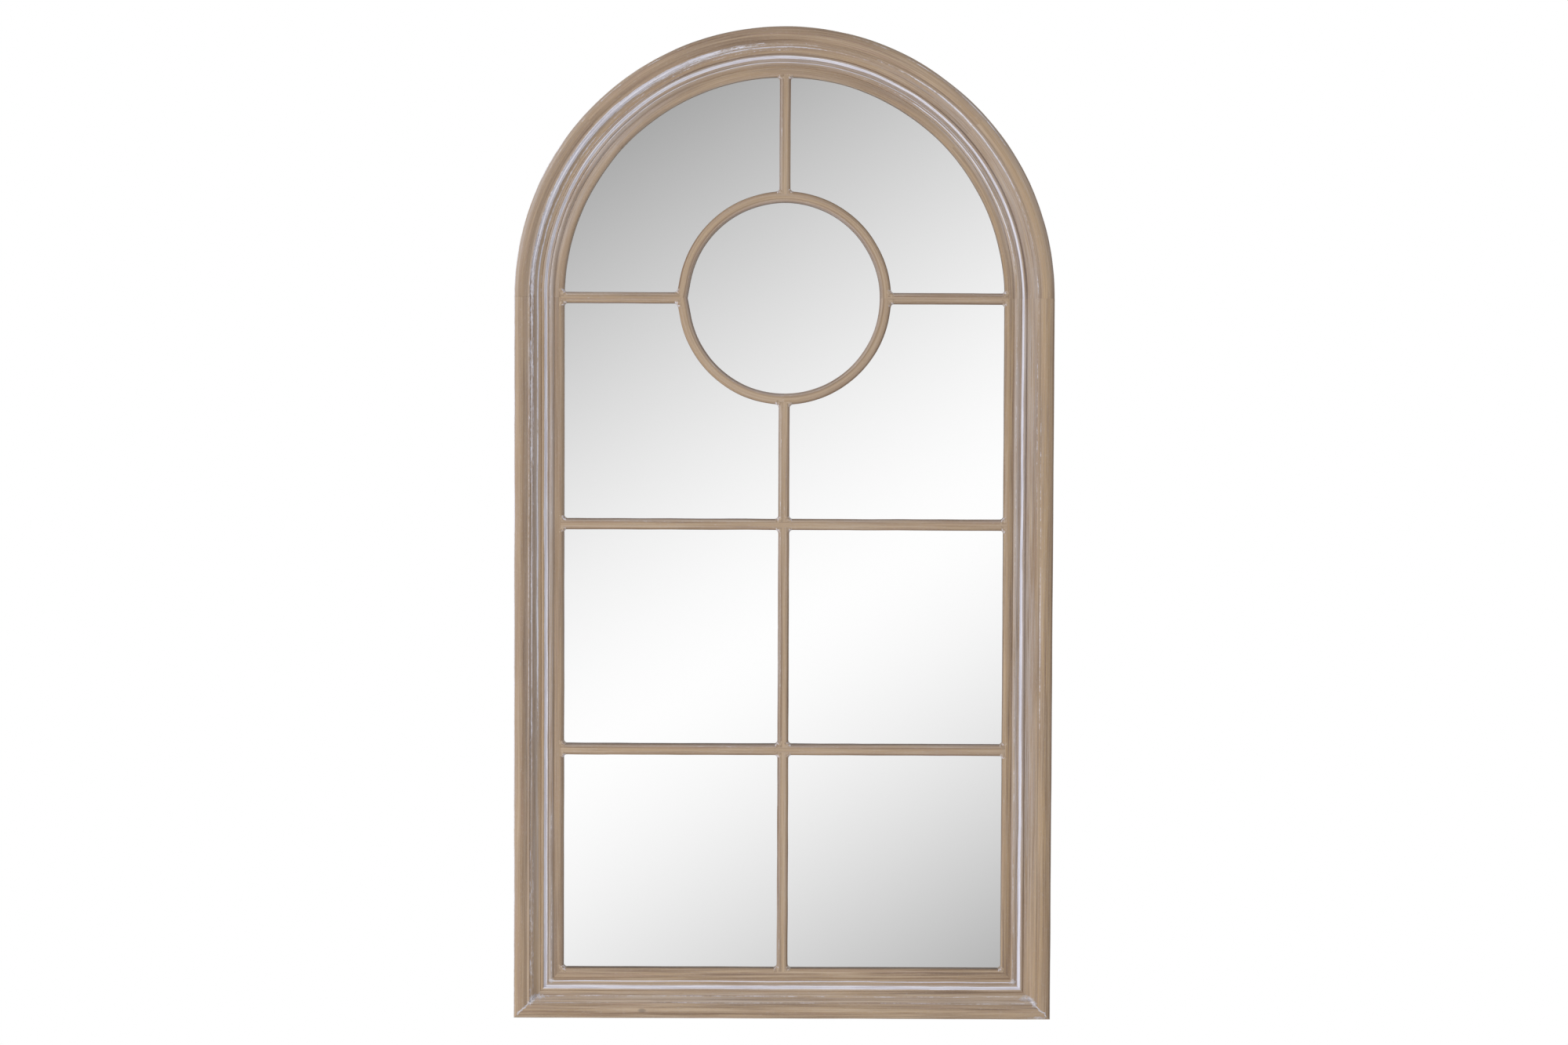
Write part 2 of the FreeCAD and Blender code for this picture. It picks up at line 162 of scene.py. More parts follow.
class Value:
    """A number, colour or vector at each point of a surface. Expressions on numbers add Math nodes."""

    def __init__(self, finish, socket):
        self.finish = finish
        self.socket = socket

    def math(self, operation, *numbers):
        sockets = dict(enumerate(numbers))
        return self.finish.node("ShaderNodeMath", {"operation": operation}, sockets)

    def __add__(self, other):
        return self.math("ADD", self, other)

    def __sub__(self, other):
        return self.math("SUBTRACT", self, other)

    def __mul__(self, other):
        return self.math("MULTIPLY", self, other)

    def __truediv__(self, other):
        return self.math("DIVIDE", self, other)

    def __rsub__(self, other):
        return self.math("SUBTRACT", other, self)

    def __abs__(self):
        return self.math("ABSOLUTE", self)

    __radd__ = __add__
    __rmul__ = __mul__

    def above(self, low, high):
        """0 under low, 1 over high, and a soft step between."""
        settings = {"interpolation_type": "SMOOTHSTEP"}
        sockets = {"Value": self, "From Min": low, "From Max": high}
        return self.finish.node("ShaderNodeMapRange", settings, sockets)

    def near(self, middle, reach, soft):
        """1 within reach of a number, and 0 past reach + soft."""
        return 1 - abs(self - middle).above(reach, reach + soft)


class Finish:
    """A material that is built up from the bare surface to its last coat."""

    def __init__(self, name):
        self.material = bpy.data.materials.new(name)
        self.material.use_nodes = True
        self.material.node_tree.nodes.clear()
        place = self.node("ShaderNodeTexCoord", {}, {}, "Object")
        self.x, self.y, self.z = (
            self.node("ShaderNodeSeparateXYZ", {}, {"Vector": place}, axis) / mm for axis in "XYZ"
        )

    def node(self, kind, settings, sockets, output=0):
        """Any node: its settings are set first, then the values or links of its sockets."""
        tree = self.material.node_tree
        node = tree.nodes.new(kind)
        for name, setting in settings.items():
            if name == "stops":
                ramp = node.color_ramp
                for position, colour in setting[1:-1]:
                    ramp.elements.new(position)
                for element, (position, colour) in zip(ramp.elements, setting):
                    element.position = position
                    element.color = (*colour, 1)
            else:
                setattr(node, name, setting)
        for name, value in sockets.items():
            if isinstance(value, Value):
                tree.links.new(value.socket, node.inputs[name])
            else:
                socket = node.inputs[name]
                colour = socket.type == "RGBA" and len(value) == 3
                socket.default_value = (*value, 1) if colour else value
        if len(node.outputs):
            return Value(self, node.outputs[output])

    def vector(self, x, y, z):
        return self.node("ShaderNodeCombineXYZ", {}, {"X": x, "Y": y, "Z": z})

    def noise(self, place, detail=2.0, roughness=0.5):
        sockets = {"Vector": place, "Scale": 1.0, "Detail": detail, "Roughness": roughness}
        return self.node("ShaderNodeTexNoise", {}, sockets)

    def mix(self, mask, under, over):
        """A colour laid over another where the mask is 1."""
        return self.node("ShaderNodeMix", {"data_type": "RGBA"}, {0: mask, 6: under, 7: over}, 2)

    def ramp(self, place, stops):
        """A number that changes with another one, from stop to stop."""
        grey = [(position, (number, number, number)) for position, number in stops]
        return self.node("ShaderNodeValToRGB", {"stops": grey}, {"Fac": place})

    def surface(self, sockets, relief=None, depth=0.1 * mm):
        """The last step: the shader, with a relief of some depth in its normals."""
        if relief:
            bump = {"Strength": 1.0, "Distance": depth, "Height": relief}
            sockets["Normal"] = self.node("ShaderNodeBump", {}, bump)
        shader = self.node("ShaderNodeBsdfPrincipled", {}, sockets)
        self.node("ShaderNodeOutputMaterial", {}, {"Surface": shader})
        return self.material


dark_brown = (0.215, 0.145, 0.098)
mid_brown = (0.330, 0.237, 0.165)
warm_brown = (0.405, 0.295, 0.203)
pale_tan = (0.520, 0.402, 0.290)
golden = (0.470, 0.325, 0.190)
rosy_brown = (0.375, 0.250, 0.188)
mauve_haze = (0.520, 0.478, 0.475)
lime_wash = (0.660, 0.645, 0.730)
chalk = (0.820, 0.818, 0.905)
bare_wood = (0.520, 0.400, 0.265)
grey_filler = (0.500, 0.480, 0.510)
gap_shadow = (0.090, 0.075, 0.062)


def limed_timber(name, place, lines, stretches, contrast=1.3, inner_edge=69.0, extras=None):
    """Brown stained timber with a white wash rubbed off it. place gives the way across and along in mm,
    and the number of the length of timber, each with its own grain.

    A line of wash is its middle, its reach and its grip, which is how much of its length it still covers.
    A stretch is where it takes over, and its coats: distance across, mauve haze, tone, and gold. In places
    the haze and the tone are painted light and painted shade."""
    finish = Finish(name)
    across, along, length_number = place(finish)
    out = finish.y * -1
    # The grain differs from length to length, and the wash only from one finish to another.
    grown = out + length_number * 37
    washed = out + len(name) * 50

    def streaks(width, length, layer, start, detail=2.0):
        """Noise drawn out along the piece."""
        spot = finish.vector(across / width, start / width + 9 * layer, along / length)
        return finish.noise(spot, detail, 0.6)

    def at_station(numbers):
        """A number, or one that changes from station to station along the hoop."""
        if isinstance(numbers, float):
            return numbers
        return finish.ramp(station, list(zip(stations, numbers)))

    blend = 110  # mm, half the length over which one stretch gives way to the next
    coat = None
    for start, coats in stretches:
        stops = [(at / inner_edge, (haze, stain_and_shading, gold)) for at, haze, stain_and_shading, gold in coats]
        here = finish.node("ShaderNodeValToRGB", {"stops": stops}, {"Fac": across / inner_edge})
        coat = finish.mix(along.above(start - blend, start + blend), coat, here) if coat else here
    # The haze and the stain also carry painted highlight and painted shade where the tables put them there:
    # at the frame's outer edge, on the left foot's steps and at the bars' edges.
    haze, stain_and_shading, gold = (finish.node("ShaderNodeSeparateXYZ", {}, {"Vector": coat}, axis) for axis in "XYZ")
    station = along / hoop_length + 0.5

    fine, broad = streaks(1.3, 110, 0, grown, 3.0), streaks(6, 280, 1, grown)
    stops = [(0.30, dark_brown), (0.44, mid_brown), (0.56, warm_brown), (0.74, pale_tan)]
    contrast = at_station(contrast)
    shade = (fine * 0.55 + broad * 0.5 - 0.525) * contrast + stain_and_shading
    colour = finish.node("ShaderNodeValToRGB", {"stops": stops}, {"Fac": shade})
    colour = finish.mix(streaks(2.4, 140, 2, grown).above(0.36, 0.62) * gold, colour, golden)
    rosy = streaks(3.0, 160, 3, grown).above(0.50, 0.66)
    colour = finish.mix(rosy * (0.45 - gold * 0.45), colour, rosy_brown)
    pores = streaks(0.6, 46, 4, grown, 3.0).above(0.58, 0.72)
    colour = finish.mix(pores * 0.32 * contrast, colour, dark_brown)

    wiped, patchy = streaks(1.1, 80, 5, washed, 3.0), streaks(12, 170, 6, washed)
    thin = haze * (wiped.above(0.36, 0.60) * 0.65 + patchy.above(0.36, 0.62) * 0.35)
    flecks = streaks(0.9, 4.5, 7, washed).above(0.55, 0.72) * 0.22
    colour = finish.mix(thin * 0.85 + flecks, colour, mauve_haze)
    crumbled = streaks(1.4, 22, 8, washed, 4.0) * 0.5 + streaks(1.4, 5, 12, washed) * 0.3
    ragged = crumbled + patchy * 0.25 - 0.525
    swayed = across + streaks(30, 110, 9, washed) * 2.5 - 1.25
    cover = 0.0
    for middle, reach, grip in lines:
        reach = at_station(reach)
        off = abs(swayed - at_station(middle)).above(reach * 0.5, reach * 1.6)
        line = (ragged + at_station(grip) - off).above(0.43, 0.56)
        cover = line.math("MAXIMUM", cover, line)
    colour = finish.mix(cover * 0.88, colour, finish.mix(wiped.above(0.40, 0.56), lime_wash, chalk))
    if extras:
        colour = extras(finish, across, along, colour)

    low = 1 - out.above(8.5, 12.5)
    is_bar = inner_edge < 20  # mm, and so with two edges down to the glass
    edge = abs(across - inner_edge / 2) + inner_edge / 2 if is_bar else across
    colour = finish.mix(edge.above(inner_edge - 0.8, inner_edge - 0.3) * low * 0.8, colour, gap_shadow)
    sawn = streaks(0.9, 30, 10, grown, 4.0) * 0.5 + streaks(9, 420, 11, grown) * 0.5
    stops = [(0.36, (0.36, 0.26, 0.165)), (0.5, bare_wood), (0.64, (0.60, 0.475, 0.33))]
    raw = finish.node("ShaderNodeValToRGB", {"stops": stops}, {"Fac": sawn})
    colour = finish.mix(1 - out.above(0.15, 1.2), colour, raw)
    roughness = 0.50 + cover * 0.22 + fine * 0.10
    sockets = {"Base Color": colour, "Roughness": roughness, "Specular IOR Level": 0.25}
    return finish.surface(sockets, fine * 0.6 + cover * 0.5, 0.18 * mm)


# The stiles and the arch are one hoop: it was washed after it was joined, so lines run on over the joints.
# The stations are each foot, the middle of each stile, each end of the arch, its quarters and its crown.
joint_angle = math.asin((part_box("arch_left_segment")[1].z - spring) / half_width)
quarter = math.pi / 2 * half_width / mm
crown_end = quarter - joint_angle * half_width / mm
stile_length = (spring - foot) / mm
hoop_length = 2 * (quarter + stile_length)
stations = [
    0.5 + at / hoop_length
    for at in (
        -hoop_length / 2, -quarter - stile_length / 2, -quarter, -quarter / 2,
        0, quarter / 2, quarter, quarter + stile_length / 2, hoop_length / 2,
    )
]


def along_hoop(finish):
    """Across from the outer edge, and along from the crown down to either foot."""
    rise = finish.z.math("MAXIMUM", finish.z - spring / mm, 0.0)
    drop = finish.z.math("MAXIMUM", spring / mm - finish.z, 0.0)
    radius = finish.x.math("SQRT", finish.x * finish.x + rise * rise)
    bend = finish.x.math("ARCTAN2", finish.x, rise) * half_width / mm
    along = bend + finish.x.math("SIGN", finish.x) * drop
    joints = [along.above(joint, joint + 0.01) for joint in (-quarter, -crown_end, crown_end, quarter)]
    return half_width / mm - radius, along, joints[0] + joints[1] + joints[2] + joints[3]


def filled_mitre(finish, across, along, colour):
    """A wavy white line of filler in the open mitre, and the lumps and the smear where it ends."""
    crumbs = finish.noise(finish.vector(finish.x / 2.6, finish.y / 2.6, finish.z / 2.6), 3.0) - 0.5
    rise = finish.z - foot / mm
    inset = half_width / mm - abs(finish.x)
    along_mitre = (rise + inset) / 2
    wave = finish.noise(finish.vector(along_mitre / 6, finish.x / 400, 3.0), 2.0) - 0.5
    off = abs(rise - inset + wave * 12)
    line = (1 - (off + crumbs * 6).above(0.9, 2.0)) * along_mitre.near(17, 10, 3)
    lumps = (1 - (off / 4.2 + crumbs * 3.5).above(0.6, 1.3)) * along_mitre.near(26, 3.5, 2.5)
    smear = (1 - (abs(rise - 29.5) / 3.5 + abs(inset - 35) / 10 + crumbs * 4.5).above(0.5, 1.4)) * 0.85
    at_edge = (1 - (abs(rise - 3) / 2.2 + abs(finish.x - 363) / 11 + crumbs * 4).above(0.6, 1.4)) * 0.7
    blob = (1 - (off / 6 + crumbs * 4).above(0.5, 1.2)) * along_mitre.near(52, 1.5, 1.5) * 0.7
    filled = line
    for spread in (lumps, smear, at_edge, blob):
        filled = filled.math("MAXIMUM", filled, spread)
    return finish.mix(filled * 0.85, colour, finish.mix(crumbs.above(-0.08, 0.16), grey_filler, chalk))


# Where a line changes along the hoop, it has one number for each station.
hoop_lines = [
    # The first line is a painted highlight on the outer edge. It is pale where the edge faces the lamp on
    # the left, and absent on the right.
    (0.5, 0.7, (0.50, 0.62, 0.55, 0.45, 0.30, 0.00, 0.00, 0.00, 0.00)),
    (4.2, 0.7, (0.00, 0.00, 0.20, 0.50, 0.36, 0.52, 0.20, 0.00, 0.00)),
    (18.4, 0.8, (0.00, 0.00, 0.00, 0.10, 0.20, 0.20, 0.32, 0.54, 0.00)),
    (21.2, 0.4, (0.00, 0.50, 0.48, 0.30, 0.36, 0.35, 0.30, 0.10, 0.00)),
    (23.4, 1.2, (0.00, 0.00, 0.10, 0.30, 0.25, 0.58, 0.42, 0.36, 0.00)),
    (25.2, 0.5, (0.20, 0.58, 0.60, 0.62, 0.36, 0.42, 0.30, 0.20, 0.00)),
    (25.0, 4.2, (0.46, 0.36, 0.50, 0.70, 0.38, 0.34, 0.00, 0.00, 0.00)),
    (28.8, 1.0, (0.00, 0.10, 0.20, 0.44, 0.54, 0.30, 0.20, 0.32, 0.00)),
    (32.6, 1.3, (0.10, 0.58, 0.56, 0.44, 0.42, 0.20, 0.10, 0.00, 0.00)),
    (37.2, 0.4, (0.00, 0.20, 0.42, 0.54, 0.30, 0.20, 0.00, 0.00, 0.00)),
    (
        (44.4, 44.4, 43.8, 42.9, 42.6, 43.2, 43.8, 44.3, 44.3),
        (2.0, 2.0, 1.9, 2.0, 1.7, 1.2, 1.3, 1.8, 2.0),
        0.96,
    ),
    (49.6, 0.5, (0.30, 0.34, 0.44, 0.54, 0.88, 0.60, 0.35, 0.20, 0.30)),
    (52.6, 1.0, (0.42, 0.38, 0.40, 0.34, 0.25, 0.62, 0.46, 0.38, 0.46)),
    (57.0, 1.6, (0.00, 0.00, 0.10, 0.34, 0.20, 0.36, 0.10, 0.00, 0.00)),
    (66.6, 0.4, 0.34),
]
# The first stops of each stretch paint light and shade on the outer edge. Pale haze sits on the left, where
# the edge faces the lamp. Stain darkens the edge over the crown, down to near black on the right, where it
# faces away.
hoop_stretches = [
    # On the left foot, the steps and the cove (24 to 40 mm across) are stained lighter than the stile above.
    # This is partly painted light, where they face away from the lamp.
    (-hoop_length, [
        (0.0, 0.9, 0.48, 0.0), (2.0, 0.1, 0.50, 0.3), (12.0, 0.0, 0.50, 0.3), (15.0, 0.0, 0.43, 0.1),
        (20.0, 0.1, 0.56, 0.3), (24.0, 0.3, 0.62, 0.3), (30.0, 0.1, 0.64, 0.4), (40.0, 0.0, 0.58, 0.4),
        (43.0, 0.8, 0.54, 0.0), (54.0, 0.6, 0.52, 0.0), (56.5, 0.1, 0.46, 0.2), (69.0, 0.1, 0.44, 0.3),
    ]),
    (-quarter - stile_length + 170, [
        (0.0, 0.9, 0.48, 0.0), (2.0, 0.3, 0.49, 0.1), (8.0, 0.1, 0.50, 0.2), (13.0, 0.0, 0.45, 0.2),
        (20.0, 0.3, 0.49, 0.1), (22.8, 0.3, 0.38, 0.0), (24.5, 0.6, 0.53, 0.0), (30.0, 0.6, 0.50, 0.0),
        (31.5, 1.0, 0.62, 0.0), (33.8, 1.0, 0.62, 0.1), (35.2, 0.0, 0.55, 0.6), (41.5, 0.0, 0.56, 0.6),
        (43.0, 0.8, 0.53, 0.0), (54.0, 0.8, 0.52, 0.0), (56.5, 0.1, 0.44, 0.3), (69.0, 0.1, 0.43, 0.3),
    ]),
    (-quarter * 0.95, [
        (0.0, 0.6, 0.45, 0.0), (4.0, 0.7, 0.59, 0.0), (7.0, 0.2, 0.54, 0.2), (12.0, 0.1, 0.52, 0.2),
        (18.0, 0.1, 0.43, 0.2), (22.0, 0.6, 0.52, 0.0), (28.5, 0.7, 0.55, 0.1), (31.0, 0.1, 0.59, 0.6),
        (37.0, 0.1, 0.59, 0.6), (39.5, 0.8, 0.55, 0.1), (46.5, 0.6, 0.50, 0.0), (49.0, 0.7, 0.54, 0.0),
        (60.0, 0.6, 0.54, 0.1), (64.0, 0.1, 0.54, 0.2), (69.0, 0.1, 0.45, 0.3),
    ]),
    (-quarter * 0.38, [
        (0.0, 0.2, 0.34, 0.0), (3.0, 0.1, 0.46, 0.2), (12.0, 0.1, 0.48, 0.1), (20.0, 0.0, 0.44, 0.1),
        (26.0, 0.3, 0.49, 0.2), (30.0, 0.4, 0.49, 0.2), (33.0, 0.1, 0.52, 0.4), (38.0, 0.1, 0.53, 0.4),
        (40.5, 0.8, 0.51, 0.1), (45.5, 0.6, 0.45, 0.0), (48.0, 0.6, 0.45, 0.0), (51.5, 0.3, 0.51, 0.2),
        (55.0, 0.1, 0.50, 0.3), (65.0, 0.1, 0.52, 0.3), (69.0, 0.2, 0.46, 0.3),
    ]),
    (quarter * 0.38, [
        (0.0, 0.0, 0.20, 0.0), (1.5, 0.3, 0.38, 0.0), (3.0, 0.8, 0.53, 0.1), (5.0, 0.3, 0.58, 0.5),
        (14.0, 0.0, 0.57, 0.6), (19.0, 0.1, 0.53, 0.3), (24.0, 0.6, 0.56, 0.1), (33.0, 0.6, 0.50, 0.1),
        (38.0, 0.5, 0.43, 0.0), (41.5, 0.6, 0.43, 0.0), (45.5, 0.6, 0.48, 0.0), (48.0, 0.7, 0.54, 0.1),
        (56.0, 0.8, 0.60, 0.2), (60.0, 0.2, 0.56, 0.5), (66.0, 0.0, 0.52, 0.7), (69.0, 0.1, 0.44, 0.4),
    ]),
    (quarter * 0.95, [
        (0.0, 0.0, 0.02, 0.0), (1.8, 0.0, 0.24, 0.1), (3.2, 0.0, 0.47, 0.4), (9.0, 0.0, 0.49, 0.6),
        (16.0, 0.1, 0.52, 0.7), (22.0, 0.2, 0.50, 0.4), (28.0, 0.6, 0.45, 0.2), (40.0, 0.6, 0.43, 0.2),
        (42.0, 0.8, 0.46, 0.0), (47.0, 0.4, 0.38, 0.0), (49.5, 0.8, 0.53, 0.0), (54.5, 0.7, 0.52, 0.1),
        (57.0, 0.0, 0.37, 0.4), (59.5, 0.0, 0.50, 0.7), (67.0, 0.1, 0.49, 0.6), (69.0, 0.1, 0.40, 0.4),
    ]),
    (quarter + stile_length - 170, [
        (0.0, 0.0, 0.02, 0.0), (1.8, 0.0, 0.24, 0.1), (3.2, 0.0, 0.48, 0.4), (16.0, 0.0, 0.51, 0.6),
        (26.0, 0.1, 0.50, 0.4), (40.0, 0.1, 0.49, 0.3), (42.0, 0.8, 0.48, 0.0), (47.0, 0.4, 0.42, 0.0),
        (49.5, 0.6, 0.52, 0.1), (54.5, 0.5, 0.52, 0.2), (57.0, 0.0, 0.40, 0.4), (69.0, 0.1, 0.44, 0.5),
    ]),
]
contrast = (1.2, 0.9, 1.0, 1.1, 1.4, 1.4, 1.5, 1.6, 1.6)
hoop_finish = limed_timber("hoop", along_hoop, hoop_lines, hoop_stretches, contrast, extras=filled_mitre)
stile_steps = 90
for side, sign in (("left", -1), ("right", 1)):
    bm = bmesh.new()
    section(bm, moulding, lambda across, out: Vector((sign * (half_width - across), -out, spring)))
    drawn_out(bm, Vector((0, 0, (foot - spring) / stile_steps)), stile_steps)
    corner = Vector((sign * half_width, 0, foot))
    cut(bm, corner, Vector((-sign, 0, -1)))
    hand_sanded(bm)
    made(side + "_stile", bm, hoop_finish, "timber", side + "_stile")


# ---------------------------------------------------------------------------------------------
# Bottom rail
# The same moulding laid on its side, mitred at both ends. A ragged line of white filler shows
# along each mitre, and a knot to the left of the middle.
# ---------------------------------------------------------------------------------------------


def along_rail(finish):
    return finish.z - foot / mm, finish.x, 0


def rail_marks(finish, across, along, colour):
    off_along, off_across = (along + 198) / 5.8, (across - 12) / 3.0
    knot = off_along * off_along + off_across * off_across
    colour = finish.mix((1 - knot.above(0.2, 1.4)) * 0.6, colour, (0.21, 0.17, 0.14))
    return filled_mitre(finish, across, along, colour)


rail_lines = [
    (3.5, 0.4, 0.32), (22.8, 0.6, 0.44), (31.0, 0.7, 0.47), (43.2, 2.0, 0.96), (46.8, 0.5, 0.36),
    (51.2, 0.9, 0.62), (64.0, 0.5, 0.30),
]
rail_coats = [
    (0.0, 0.1, 0.46, 0.1), (8.0, 0.0, 0.54, 0.3), (18.0, 0.1, 0.56, 0.3), (21.0, 0.1, 0.50, 0.2),
    (22.5, 0.4, 0.62, 0.0), (33.0, 0.4, 0.62, 0.1), (37.0, 0.1, 0.55, 0.4), (41.0, 0.4, 0.58, 0.1),
    (42.0, 0.8, 0.57, 0.0), (47.0, 0.5, 0.57, 0.1), (49.5, 0.1, 0.56, 0.4), (54.0, 0.1, 0.54, 0.3),
    (56.0, 0.0, 0.46, 0.3), (59.0, 0.1, 0.55, 0.3), (67.0, 0.1, 0.53, 0.3), (69.0, 0.0, 0.36, 0.1),
]
bm = bmesh.new()
section(bm, moulding, lambda across, out: Vector((-half_width, -out, foot + across)))
rail_steps = 72
drawn_out(bm, Vector((2 * half_width / rail_steps, 0, 0)), rail_steps)
for sign in (-1, 1):
    cut(bm, Vector((sign * half_width, 0, foot)), Vector((sign, 0, 1)))
hand_sanded(bm)
finish = limed_timber("rail", along_rail, rail_lines, [(0, rail_coats)], 2.0, extras=rail_marks)
made("bottom_rail", bm, finish, "timber", "bottom_rail")


# ---------------------------------------------------------------------------------------------
# Arch
# Three segments sawn from wide boards and moulded on their curve, butted end to end on glued
# dowels. Each has a grain of its own, and the wash runs on over the joints.
# ---------------------------------------------------------------------------------------------


def carried_round(bm, faces, angle, steps):
    """Carries a section round the middle of the arch."""
    bmesh.ops.spin(
        bm, geom=faces, angle=angle, steps=steps, axis=(0, 1, 0), cent=arch_centre, dvec=(0, 0, 0)
    )


segments = [
    ("arch_left_segment", 0, joint_angle),
    ("arch_crown_segment", joint_angle, math.pi - 2 * joint_angle),
    ("arch_right_segment", math.pi - joint_angle, joint_angle),
]
for name, start, span in segments:
    bm = bmesh.new()
    turn = Matrix.Rotation(start, 3, "Y")
    section(bm, moulding, lambda across, out: arch_centre + turn @ Vector((across - half_width, -out, 0)))
    carried_round(bm, bm.faces[:], span, round(math.degrees(span) / 1.2))
    hand_sanded(bm, 0.5 * mm)
    made(name, bm, hoop_finish, "timber", name)


# ---------------------------------------------------------------------------------------------
# Dowels
# Eight plain beech dowels, two glued across each butt joint of the arch, hidden in the timber.
# ---------------------------------------------------------------------------------------------


def finish_node(name, material):
    """Gives a piece that stays as it was packed its finish."""
    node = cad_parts[name]
    node.data.materials.clear()
    node.data.materials.append(material)


finish = Finish("beech")
flecks = finish.noise(finish.vector(finish.x / 0.8, finish.y / 0.8, finish.z / 6), 3.0)
stops = [(0.35, (0.50, 0.35, 0.21)), (0.65, (0.66, 0.49, 0.32))]
colour = finish.node("ShaderNodeValToRGB", {"stops": stops}, {"Fac": flecks})
finish_node("arch_dowels", finish.surface({"Base Color": colour, "Roughness": 0.6}, flecks))


# ---------------------------------------------------------------------------------------------
# Mitre nails
# Two V-shaped nails of thin sheet steel in each mitre, driven from the back till they are all but
# flush. Their legs draw the two members together.
# ---------------------------------------------------------------------------------------------

nail_leg, nail_depth, nail_thickness = 7.0 * mm, 10 * mm, 0.6 * mm
nail_insets = (13 * mm, 33 * mm)  # from the frame's outer edges
proud = 0.06 * mm


def zinc_plate(name, tint):
    """Zinc-plated steel: a faint spangle, and dull patches."""
    finish = Finish(name)
    spangle = finish.noise(finish.vector(finish.x / 1.5, finish.y / 1.5, finish.z / 1.5), 2.0)
    dull = finish.noise(finish.vector(finish.x / 9, finish.y / 9, finish.z / 9), 3.0)
    colour = finish.mix(dull, tint, (0.62, 0.60, 0.57))
    roughness = 0.24 + dull * 0.25 + spangle * 0.08
    sockets = {"Base Color": colour, "Metallic": 1.0, "Roughness": roughness}
    return finish.surface(sockets, spangle, 0.04 * mm)


bm = bmesh.new()
bmesh.ops.create_cube(bm, size=1)
for vert in bm.verts:
    x, y, z = vert.co
    vert.co = Vector(((x + 0.5) * nail_leg, y * nail_depth, (z + 0.5) * nail_thickness))
turned_leg = bmesh.ops.duplicate(bm, geom=bm.verts[:] + bm.edges[:] + bm.faces[:])["geom"]
turned_leg = [part for part in turned_leg if isinstance(part, bmesh.types.BMVert)]
for vert in turned_leg:
    vert.co.x, vert.co.z = vert.co.z, vert.co.x
nail = bpy.data.meshes.new("nail")
bmesh.ops.recalc_face_normals(bm, faces=bm.faces[:])
bm.to_mesh(nail)
bm.free()
bm = bmesh.new()
for sign in (-1, 1):
    for inset in nail_insets:
        place = Matrix.Translation((sign * (half_width - inset), proud - nail_depth / 2, foot + inset))
        before = len(bm.verts)
        bm.from_mesh(nail)
        bm.verts.ensure_lookup_table()
        bmesh.ops.transform(bm, matrix=place @ Matrix.Diagonal((-sign, 1, 1, 1)), verts=bm.verts[before:])
bmesh.ops.bevel(bm, geom=bm.edges[:], offset=0.08 * mm, affect="EDGES", segments=1, profile=0.5, material=-1)
made("mitre_nails", bm, zinc_plate("nail_steel", (0.45, 0.45, 0.46)), "steel", "mitre_nails")


# ---------------------------------------------------------------------------------------------
# Lattice
# Flush bars with rounded shoulders that lie on the glass: a ring in two halves, three spokes, a
# spine in three pieces and two cross bars. They are coped to each other and to the frame's lip.
# ---------------------------------------------------------------------------------------------

lip = -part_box("upper_cross_bar")[0].y
glass_face = -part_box("mirror_glass")[0].y
bar_half = (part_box("top_spoke")[1].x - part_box("top_spoke")[0].x) / 2
ring_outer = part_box("ring_upper_half")[1].x
ring_middle = ring_outer - bar_half
shoulder = 4.2  # mm across, of each of the two along a bar
shoulder_drop = 3.4  # mm

bar_profile = [
    (-bar_half / mm, glass_face / mm, 0.0),
    (-bar_half / mm, lip / mm - shoulder_drop, 0.0),
    (shoulder - bar_half / mm, lip / mm, 0.7),
    (bar_half / mm - shoulder, lip / mm, 0.0),
    (bar_half / mm, lip / mm - shoulder_drop, 0.7),
    (bar_half / mm, glass_face / mm, 0.0),
]
bar_lines = [(0.9, 0.7, 0.34), (3.2, 1.0, 0.38), (8.4, 0.6, 0.34), (11.6, 0.6, 0.34), (14.4, 0.4, 0.24)]
# The stain darkens each bar towards both edges, over the shoulders and down the sides. This is partly the
# bar's own tone and partly painted shade on the slopes that turn away from the light.
bar_coats = [
    (0.0, 0.3, 0.26, 0.0), (1.8, 0.5, 0.42, 0.0), (3.2, 0.4, 0.58, 0.1), (5.2, 0.0, 0.42, 0.2),
    (6.4, 0.1, 0.62, 0.4), (9.5, 0.1, 0.64, 0.5), (11.3, 0.2, 0.62, 0.4), (12.5, 0.1, 0.54, 0.3),
    (14.2, 0.0, 0.42, 0.2), (15.5, 0.0, 0.24, 0.0),
]


def middle_height(name):
    low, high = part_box(name)
    return (low.z + high.z) / 2


upper, lower = middle_height("upper_cross_bar"), middle_height("lower_cross_bar")


def along_upright(finish):
    number = finish.z.above(lower / mm, lower / mm + 1) + finish.z.above(upper / mm, upper / mm + 1)
    return finish.x + bar_half / mm, finish.z, number + finish.z.above(spring / mm, spring / mm + 1)


def along_level(finish):
    over_lower = finish.z.above(lower / mm + 50, lower / mm + 51)
    over_upper = finish.z.above(upper / mm + 50, upper / mm + 51)
    middle = lower / mm + over_lower * ((upper - lower) / mm) + over_upper * ((spring - upper) / mm)
    number = over_lower * 2 + over_upper * 3 + finish.x.above(0, 1) * over_upper
    return middle + bar_half / mm - finish.z, finish.x + number * 60, number


def straight_bar(name, start, end, finish):
    """A bar from one point on the back plane to another."""
    bm = bmesh.new()
    run = end - start
    across_way = Vector((0, 1, 0)).cross(run).normalized()
    section(bm, bar_profile, lambda across, out: start + across_way * across - Vector((0, out, 0)))
    steps = max(2, round(run.length / (12 * mm)))
    drawn_out(bm, run / steps, steps)
    hand_sanded(bm, 0.3 * mm, 45 * mm)
    made(name, bm, finish, "timber", name)


